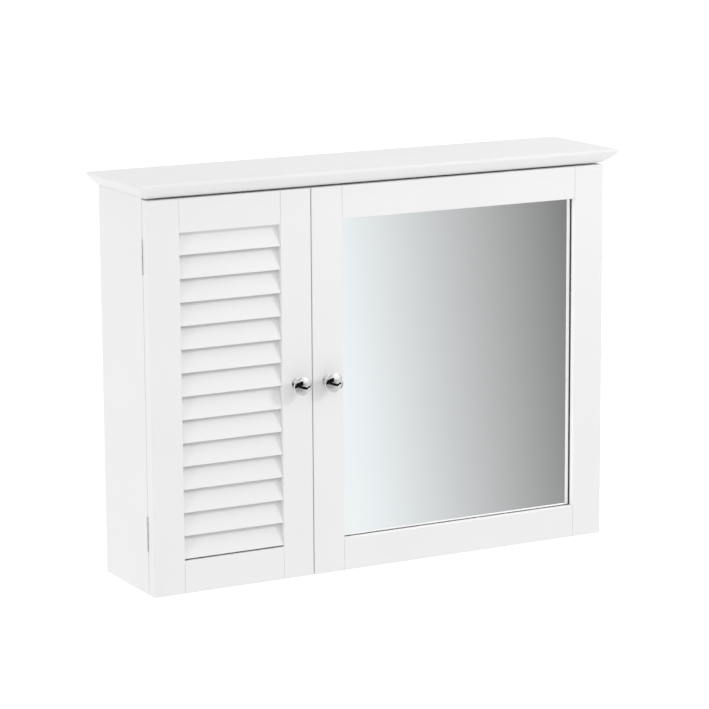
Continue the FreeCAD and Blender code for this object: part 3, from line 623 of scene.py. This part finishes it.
# %% One screw as a surface
def screw_grid(head_radius, head_drop, seat_radius, shank_radius, length, sides=48):
    """Screw along +Y from the middle of its head: profile rows from the head's middle to the tip.

    The seat is the head's lower end: as narrow as the shank on a countersunk head, full width on a pan head.
    With r as a share of the head's radius, the cross sinks by depth * max(arm(x), arm(z)) * fade(r) *
    (1.4 - r), where an arm is 1 inside its half width and falls to 0 over its slope. The thread draws the
    radius in by depth * |2 s - 1|, with s the fraction of y / pitch - t / (2 pi).
    """
    arm_half, arm_slope, arm_reach, arm_fade = 0.16, 0.12, 0.62, 0.12
    cross_depth, cross_middle = 0.5, 1.4
    pitch, thread_depth, tip_length = 0.9 * shank_radius, 0.22 * shank_radius, 1.6 * shank_radius
    thread_start, thread_end = 1.5 * head_drop, length - shank_radius
    turn = np.arange(sides) * (2 * math.pi / sides)
    flat = np.linspace(0.02, 0.97, 14)
    rim, rim_drop, seat_drop = np.array([0.99, 1.0]), np.array([0.01, 0.06]), 0.95
    shank = np.linspace(head_drop, length - tip_length, 46)[:-1]
    taper = np.linspace(1.0, 0.06, 8)
    radius = np.concatenate([
        flat * head_radius, rim * head_radius, [seat_radius],
        np.full(shank.size, shank_radius), shank_radius * taper])
    along = np.concatenate([
        np.zeros(flat.size), rim_drop * head_drop, [seat_drop * head_drop],
        shank, length - tip_length * taper])
    radius, along = radius[:, None], along[:, None] + 0 * turn
    x, z = radius * np.cos(turn), radius * np.sin(turn)
    arms = np.maximum(
        np.clip((arm_half + arm_slope - np.abs(x) / head_radius) / arm_slope, 0, 1),
        np.clip((arm_half + arm_slope - np.abs(z) / head_radius) / arm_slope, 0, 1))
    fade = np.clip((arm_reach - radius / head_radius) / arm_fade, 0, 1)
    on_head = (np.arange(radius.size) < flat.size)[:, None]
    along = along + on_head * arms * fade * cross_depth * head_drop * (cross_middle - radius / head_radius)
    on_thread = (along > thread_start) & (along < thread_end) & ~on_head
    share = np.mod(along / pitch - turn / (2 * math.pi), 1.0)
    swell = 1 - thread_depth / shank_radius * np.abs(2 * share - 1) * on_thread
    return np.stack([x * swell, along, z * swell], axis=-1)


def laid_along(grid, place, direction):
    """The grid with its +Y turned to a direction and its start moved to a place."""
    turn = np.array(Vector((0, 1, 0)).rotation_difference(Vector(direction)).to_matrix())
    return grid @ turn.T + np.array(place)


# %% Which way each group points
to_wall, to_room = (0, 1, 0), (0, -1, 0)
to_right, to_left = (1, 0, 0), (-1, 0, 0)
screw_directions = {
    "left_hinge_carcass_screws": to_wall,
    "right_hinge_carcass_screws": to_wall,
    "left_door_screws": to_room,
    "right_door_screws": to_room,
    "hanging_plate_screws": to_room,
    "left_knob_screw": to_room,
    "right_knob_screw": to_room,
}
partition_low, partition_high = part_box("centre_partition")
partition_x = (partition_low.x + partition_high.x) / 2


def screw_rows(node):
    """The node's points with their direction; catch screws enter the partition from both of its sides."""
    points = node_points(node)
    if node in screw_directions:
        return [(points, screw_directions[node])]
    right = points[:, 0] > partition_x
    return [(points[~right], to_right), (points[right], to_left)]


# %% Put the screws in their holes
countersunk_share, pan_share = 0.6, 0.526
pan_height = 2.4 * mm
screw_gap = 2 * mm
seat_share = 1.05


def screw_in_box(low, high, direction, pan_head):
    """One screw laid into the box of its solid, with the head at the box's near end."""
    axis = int(np.argmax(np.abs(direction)))
    start = (low + high) / 2
    start[axis] = low[axis] if direction[axis] > 0 else high[axis]
    head_radius = np.delete(high - low, axis).min() / 2
    if pan_head:
        shank_radius = head_radius * pan_share
        head = (head_radius, pan_height, head_radius)
    else:
        shank_radius = head_radius * countersunk_share
        head = (head_radius, head_radius - shank_radius, shank_radius * seat_share)
    return laid_along(screw_grid(*head, shank_radius, high[axis] - low[axis]), start, direction)


def screws_of(node):
    """Grids of all the screws in a node."""
    grids = []
    for points, direction in screw_rows(node):
        across = [axis for axis in range(3) if direction[axis] == 0]
        for group in split_at_gaps(points, screw_gap, across):
            grids.append(screw_in_box(group.min(axis=0), group.max(axis=0), direction, "knob" in node))
    return grids


screw_nodes = [name for name in nodes if "screw" in name]
for name in screw_nodes:
    grids = screws_of(name)
    piece = make_piece(name + "_cross_head", grids, zinc, name, sharp_degrees=50)
    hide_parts(name)
    print(piece.name, len(grids))

# %% [markdown]
# The studio floor
#
# The cabinet hangs in white, with a pale paper floor so far below it that a camera looking up still
# stands above it. A white floor would also throw its own light on the undersides of the slats. Here that
# light is left to the sky, where it can be graded, so the floor is hidden from diffuse rays.

# %% Pale floor
def flat_grid(corner, across, up, columns, rows):
    """Points corner + u across + v up, for u and v from 0 to 1."""
    u, v = np.meshgrid(np.linspace(0, 1, columns), np.linspace(0, 1, rows))
    return np.array(corner) + u[..., None] * np.array(across) + v[..., None] * np.array(up)


def make_stage(name, grid, material):
    """Open sheet through a (rows, columns, 3) grid that belongs to the studio, not to the cabinet."""
    rows, columns = grid.shape[:2]
    index = np.arange(rows * columns).reshape(rows, columns)
    quads = np.stack([index[:-1, :-1], index[:-1, 1:], index[1:, 1:], index[1:, :-1]], axis=-1)
    mesh = bpy.data.meshes.new(name)
    mesh.from_pydata(grid.reshape(-1, 3).tolist(), [], quads.reshape(-1, 4).tolist())
    mesh.materials.append(material)
    board = bpy.data.objects.new(name, mesh)
    bpy.context.scene.collection.objects.link(board)
    return board


def paper(name):
    """White paper with a little tooth, lifted by a faint glow so that it stays white far away."""
    tooth_cells = 300.0
    finish = new_finish(name)
    tooth = finish.noise(tooth_cells, 3.0)
    return finish.surface({
        "Base Color": finish.mix(tooth, (0.90, 0.90, 0.90, 1), (0.93, 0.93, 0.93, 1)),
        "Roughness": 0.9,
        "Specular IOR Level": 0.0,
        "Emission Color": (1, 1, 1, 1),
        "Emission Strength": 0.3,
    })


floor_drop, floor_span, floor_points = 3.0, 2400.0, 13
floor_corner = (-floor_span / 2, -floor_span / 2, -floor_drop)
floor_grid = flat_grid(floor_corner, (floor_span, 0, 0), (0, floor_span, 0), floor_points, floor_points)
floor = make_stage("studio_floor", floor_grid, paper("floor_paper"))
floor.visible_diffuse = False
print("floor", floor_drop, "m below the cabinet")

# %% [markdown]
# Painted reflections for the bright pieces
#
# Chrome and silver have hardly any look of their own, so their reflections are painted here. The mirror's
# greys are painted on a glowing card that goes from white to grey. The knobs' soft greys are painted on a
# glowing shell round them, and their dark shapes on black flags before it. The camera never sees these cards,
# and they light nothing. Rays that come out of the glass count as transmission and rays off the chrome as
# glossy, so each card can be shown to the one and hidden from the other.

# %% Glowing cards that paint what reflections see
def glow_only(finish, colour):
    """Surface that gives out a colour and throws no light back; the painted reflections are drawn with it."""
    return finish.surface({
        "Base Color": (0, 0, 0, 1),
        "Roughness": 1.0,
        "Specular IOR Level": 0.0,
        "Emission Color": colour,
        "Emission Strength": 1.0,
    })


def hidden_card(name, grid, material, seen_in_glass):
    """Card with a painted reflection that only reflections see: those in the silvered glass, or those in the
    bare metal.
    """
    card = make_stage(name, grid, material)
    card.visible_camera = False
    card.visible_diffuse = False
    card.visible_shadow = False
    card.visible_glossy = not seen_in_glass
    card.visible_transmission = seen_in_glass
    return card


# %% Grey card that paints the mirror's reflection
def graded_glow(name, stops, low_x, high_x, tilt):
    """Glow of a painted reflection that changes from left to right between two places along X; the tilt moves
    it with the height.
    """
    finish = new_finish(name)
    across = finish.part(finish.place, "X")
    height = finish.part(finish.place, "Z")
    share = (across + height * tilt - low_x) * (1 / (high_x - low_x))
    return glow_only(finish, finish.node("ValToRGB", {"stops": stops}, {"Fac": share}, "Color"))


card_left, card_right, card_tilt = -5.0, 5.0, 0.12
card_back, card_front = 0.0, -2.5
card_bottom, card_top = -0.74, 2.46
white, dark_grey = (1.0, 1.0, 1.0, 1), (0.22, 0.22, 0.22, 1)
# The stops are the painted reflection's bands of white, dark grey and grey, from left to right.
mirror_reflection_stops = [
    (0.1, white),
    (0.3, (0.25, 0.25, 0.25, 1)),
    (0.4, (0.35, 0.355, 0.36, 1)),
    (0.5, (0.72, 0.735, 0.74, 1)),
    (0.57, white),
    (0.598, white),
    (0.6196, (0.90, 0.95, 0.965, 1)),
    (0.646, (0.585, 0.60, 0.605, 1)),
    (0.678, dark_grey),
    (0.76, dark_grey),
    (0.94, white),
]
mirror_reflection_glow = graded_glow("painted_mirror_reflection", mirror_reflection_stops, card_left, card_right, card_tilt)
card_rows = ((card_back, card_bottom), (card_front, card_bottom), (card_front, card_top))
card_columns = np.linspace(card_left, card_right, 17)
card_grid = np.array([[(x, y, z) for x in card_columns] for y, z in card_rows])
mirror_card = hidden_card("mirror_card", card_grid, mirror_reflection_glow, seen_in_glass=True)
print(mirror_card.name, "m wide:", card_right - card_left)


# %% Shell of painted soft-grey reflections for the knobs
def shell_glow(name, middle, radius):
    """Glow that paints the knobs' reflections by direction from the knobs, with side and height as shares of
    the shell's radius.

    Above the knobs it is dark, plus a share that rises to the right and a share that rises overhead. Below
    them it is a middle grey, plus a share that rises to the right, and deep down it turns to one even grey.
    """
    dark, right_share, overhead_share = 0.18, 0.5, 0.5
    middle_grey, low_right_share, deep_grey = 0.37, 0.33, 0.6
    finish = new_finish(name)
    away = finish.node("VectorMath", {"operation": "SUBTRACT"}, {0: finish.place, 1: tuple(middle)})
    side = finish.part(away, "X") * (1 / radius)
    height = finish.part(away, "Z") * (1 / radius)
    rightwards = finish.rise(side, -0.3, 1.0) * right_share
    overhead = finish.rise(height, 0.15, 0.75) * overhead_share
    above = dark + rightwards + overhead
    deep = finish.rise(0 - height, 0.6, 0.95)
    below = (middle_grey + finish.rise(side, -0.2, 0.7) * low_right_share) * (1 - deep) + deep * deep_grey
    upper = finish.rise(height, -0.1, 0.1)
    level = above * upper + below * (1 - upper)
    return glow_only(finish, finish.node("CombineColor", {}, {"Red": level, "Green": level, "Blue": level}))


def shell_grid(middle, radius, turns, rises):
    """Part of a sphere: middle + radius (cos e sin a, -cos e cos a, sin e), with turns a and rises e."""
    turn, rise = np.meshgrid(np.radians(turns), np.radians(rises))
    out = np.stack([np.cos(rise) * np.sin(turn), -np.cos(rise) * np.cos(turn), np.sin(rise)], axis=-1)
    return np.array(middle) + radius * out


left_low, left_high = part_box("left_knob")
right_low, right_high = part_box("right_knob")
knobs_middle = np.array((left_low + left_high + right_low + right_high) / 4)
shell_radius = 0.9
shell_points = shell_grid(knobs_middle, shell_radius, np.linspace(-94, 110, 47), np.linspace(-88, 88, 37))
knob_reflection_material = shell_glow("shell_glow", knobs_middle, shell_radius)
knob_reflection_shell = hidden_card("knob_reflection_shell", shell_points, knob_reflection_material, seen_in_glass=False)
print(knob_reflection_shell.name, "faces:", len(knob_reflection_shell.data.polygons))


# %% Flags that paint dark reflections in the knobs
def dark_reflection_flag(name, glow):
    """Black sheet with a faint speckle that paints dark reflections in the knobs, or a grey one that glows a
    little to paint a grey reflection.
    """
    speckle_cells = 80.0
    finish = new_finish(name)
    speckle = finish.noise(speckle_cells, 2.0)
    return finish.surface({
        "Base Color": finish.mix(speckle, (0.004, 0.004, 0.004, 1), (0.012, 0.012, 0.012, 1)),
        "Roughness": 1.0,
        "Specular IOR Level": 0.0,
        "Emission Color": (1, 1, 1, 1),
        "Emission Strength": glow,
    })


# Each flag is two rows of directions from the knobs, its upper and its lower edge; the knobs show it as a
# painted dark reflection.
flag_distance = 0.84
large_flag = [
    [(-0.80, -0.47, 0.35), (0.17, -0.70, 0.68)],
    [(-0.81, -0.50, -0.26), (0.08, -0.97, 0.20)],
]
low_flag = [
    [(-0.36, -0.93, 0.05), (-0.12, -0.99, 0.02), (0.11, -0.99, -0.04), (0.42, -0.90, -0.12),
     (0.60, -0.77, -0.22), (0.86, -0.51, -0.08), (0.98, -0.12, -0.13)],
    [(-0.69, -0.66, -0.27), (-0.34, -0.90, -0.27), (0.13, -0.90, -0.43), (0.44, -0.75, -0.49),
     (0.65, -0.58, -0.49), (0.84, -0.47, -0.28), (0.95, -0.08, -0.27)],
]
side_flag = [
    [(-0.82, -0.54, 0.20), (-0.94, -0.26, 0.20), (-0.97, 0.05, 0.20)],
    [(-0.80, -0.52, -0.28), (-0.92, -0.26, -0.28), (-0.96, 0.05, -0.28)],
]
thin_flag = [
    [(-0.56, -0.44, 0.70), (0.08, -0.22, 0.97)],
    [(-0.42, -0.53, 0.74), (0.22, -0.24, 0.95)],
]
black_reflection_flag = dark_reflection_flag("black_reflection_flag", 0.0)
grey_reflection_flag = dark_reflection_flag("grey_reflection_flag", 0.28)
flags = {
    "large_flag": (large_flag, black_reflection_flag),
    "low_flag": (low_flag, black_reflection_flag),
    "side_flag": (side_flag, black_reflection_flag),
    "thin_flag": (thin_flag, grey_reflection_flag),
}
for name, (directions, reflection_finish) in flags.items():
    flag_points = knobs_middle + np.array(directions) * flag_distance
    hidden_card(name, flag_points, reflection_finish, seen_in_glass=False)
print("flags:", list(flags))

# %% [markdown]
# Light
#
# A plain white sky would light every face alike and the cabinet would look cut from paper. So the sky is
# brightest straight below and overhead and dimmer between, with a lighter line at the horizon, while the
# lens itself sees it as plain white. Two soft boxes are added: the one at the upper right draws the
# shadow beside each slat and below each knob, the one at the left fills the side panel. The mirror also
# throws light on the frame round it. Paths through glass find a lamp only by luck, so a sheet of light
# on the pane stands for that, and swings with the door.

# %% Graded sky
sky_levels = ((-1.0, 1.42), (-0.08, 0.66), (0.0, 0.97), (0.45, 0.77), (1.0, 1.22))
sky_stops = [(rise / 2 + 0.5, (level, level, level, 1)) for rise, level in sky_levels]
world = bpy.data.worlds.new("graded_sky")
sky = Finish(world, "BACKGROUND", "Generated")
sky_share = sky.part(sky.place, "Z") * 0.5 + 0.5
graded = sky.node("ValToRGB", {"stops": sky_stops}, {"Fac": sky_share}, "Color")
seen_directly = sky.node("LightPath", {}, {}, "Is Camera Ray")
sky.surface({"Color": sky.mix(seen_directly, graded, white), "Strength": 1.0})
bpy.context.scene.world = world
print("sky, height and level:", sky_levels)


# %% Soft boxes
def soft_box(name, place, target, size, power):
    """Square area light that looks at a target."""
    light = bpy.data.lights.new(name, "AREA")
    light.size = size
    light.energy = power
    lamp = bpy.data.objects.new(name, light)
    lamp.location = place
    lamp.rotation_euler = (Vector(target) - Vector(place)).to_track_quat("-Z", "Y").to_euler()
    bpy.context.scene.collection.objects.link(lamp)
    return lamp


def thrown_back(name, low, high, margin, level):
    """Light that a mirror gives back to its frame: a sheet on the glass, of power level * pi * area."""
    width, height = high.x - low.x - 2 * margin, high.z - low.z - 2 * margin
    place = Vector(((low.x + high.x) / 2, low.y, (low.z + high.z) / 2))
    lamp = soft_box(name, place, place + Vector(to_room), width, level * math.pi * width * height)
    lamp.data.shape = "RECTANGLE"
    lamp.data.size_y = height
    lamp.visible_camera = False
    lamp.visible_glossy = False
    lamp.visible_transmission = False
    return lamp


cabinet_middle = (cad_low + cad_high) / 2
key_place, key_size, key_power = (1.8, -2.0, 1.6), 0.5, 20.0
left_place, left_size, left_power = (-6.0, -2.2, 0.8), 1.2, 68.0
mirror_margin, mirror_level = 9 * mm, 1.2
soft_box("key_box", key_place, cabinet_middle, key_size, key_power)
soft_box("left_box", left_place, cabinet_middle, left_size, left_power)
mirror_light = thrown_back("mirror_light", glass_low, glass_high, mirror_margin, mirror_level)
mirror_light.parent = pane
bpy.context.scene.view_settings.view_transform = "Standard"

# %% [markdown]
# The camera
#
# The view is from the left and a little above, with a long lens, which keeps the boards nearly parallel.
# Place, direction and focal length come from the corners of the cabinet, whose real size is known.

# %% Long lens from the left
camera_place = (-1.7232, -3.2701, 0.9701)
camera_turn, camera_drop, camera_roll = -28.232, 11.213, -0.373
picture_width_px = 709
focal_px = 3022.7
sensor_mm = 36.0
camera = bpy.data.cameras.new("long_lens")
camera.sensor_width = sensor_mm
camera.lens = focal_px / picture_width_px * sensor_mm
viewer = bpy.data.objects.new("viewer", camera)
viewer.location = camera_place
aim = Euler((math.radians(90 - camera_drop), 0, math.radians(camera_turn))).to_quaternion()
viewer.rotation_mode = "QUATERNION"
viewer.rotation_quaternion = aim @ Quaternion((0, 0, 1), math.radians(camera_roll))
bpy.context.scene.collection.objects.link(viewer)
bpy.context.scene.camera = viewer
print("lens, mm:", round(camera.lens, 1))

# %% [markdown]
# Last update
#
# The view layer is brought up to date with every piece in place.

# %% Update the view layer
bpy.context.view_layer.update()
